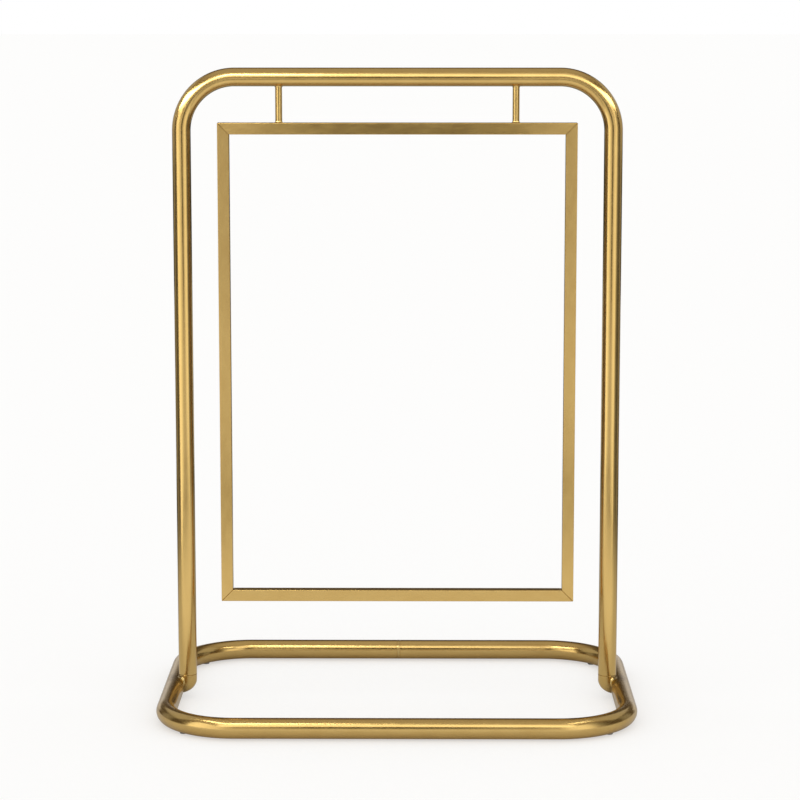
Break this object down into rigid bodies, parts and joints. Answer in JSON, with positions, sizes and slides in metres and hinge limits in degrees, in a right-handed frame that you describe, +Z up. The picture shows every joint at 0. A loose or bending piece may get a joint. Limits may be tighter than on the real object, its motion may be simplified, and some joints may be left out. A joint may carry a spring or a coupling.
{
  "type": "display easel",
  "caption": "Free-standing tabletop sign easel: a bent tube hoop on a flat ring base, with an open mitred frame hung from its top by short rods.",
  "frame": {"origin": "on the floor under the middle of the easel", "axes": "+Z up the hoop, +X to the right and +Y away from a viewer in front"},
  "size_m": [0.413, 0.292, 0.555],
  "materials": {
    "satin_gold_tube": "satin, lengthwise polished",
    "brushed_gold_frame": "fine brushed satin",
    "gold_weld": "bright, lightly dressed weld",
    "floor_pad": "matt"
  },
  "bodies": {
    "root": {"base_ring_tube": "satin_gold_tube", "base_ring_butt_weld": "gold_weld", "hoop_tube": "satin_gold_tube", "left_leg_end_plug": "satin_gold_tube", "right_leg_end_plug": "satin_gold_tube", "left_leg_weld": "gold_weld", "right_leg_weld": "gold_weld", "left_hanger_rod": "satin_gold_tube", "right_hanger_rod": "satin_gold_tube", "left_hanger_top_weld": "gold_weld", "right_hanger_top_weld": "gold_weld", "left_hanger_bottom_weld": "gold_weld", "right_hanger_bottom_weld": "gold_weld", "frame_top_bar": "brushed_gold_frame", "frame_bottom_bar": "brushed_gold_frame", "frame_left_bar": "brushed_gold_frame", "frame_right_bar": "brushed_gold_frame", "front_left_floor_pad": "floor_pad", "front_right_floor_pad": "floor_pad", "back_left_floor_pad": "floor_pad", "back_right_floor_pad": "floor_pad"}
  },
  "joints": []
}
